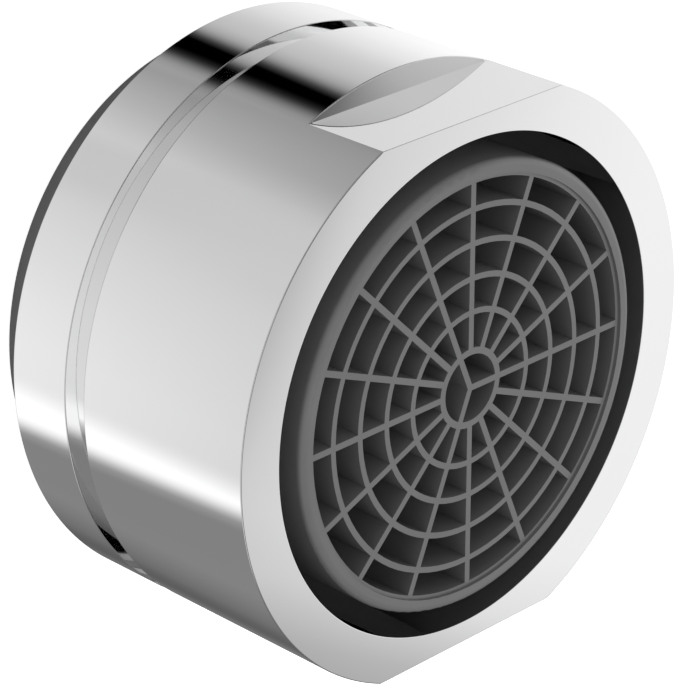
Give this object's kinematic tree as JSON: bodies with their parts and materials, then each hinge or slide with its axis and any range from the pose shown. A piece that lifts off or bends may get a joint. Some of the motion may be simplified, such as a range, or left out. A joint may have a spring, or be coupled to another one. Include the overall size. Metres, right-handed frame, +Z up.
{
  "type": "tap aerator",
  "caption": "Chromed tap aerator with a spider web outlet, spanner flats and a rubber sealing washer round a moulded cartridge.",
  "frame": {"origin": "centre of the sealing washer's inlet face, which the part stands on", "axes": "+Z up the water path to the outlet, +Y square to one spanner flat"},
  "size_m": [0.024, 0.024, 0.0148],
  "materials": {
    "chromed_brass": "polished chrome plate",
    "washer_rubber": "smooth moulded rubber",
    "housing_plastic": "smooth satin moulding",
    "web_plastic": "smooth satin moulding",
    "strainer_plastic": "smooth satin moulding",
    "regulator_plastic": "smooth satin moulding",
    "ring_rubber": "smooth moulded rubber",
    "splitter_plastic": "smooth satin moulding",
    "grid_plastic": "smooth satin moulding"
  },
  "bodies": {
    "root": {"shell": "chromed_brass", "sealing_washer": "washer_rubber", "inlet_housing": "housing_plastic", "outlet_housing": "web_plastic", "strainer": "strainer_plastic", "regulator_body": "regulator_plastic", "regulator_ring": "ring_rubber", "jet_splitter": "splitter_plastic", "first_grid": "grid_plastic", "second_grid": "grid_plastic"}
  },
  "joints": []
}
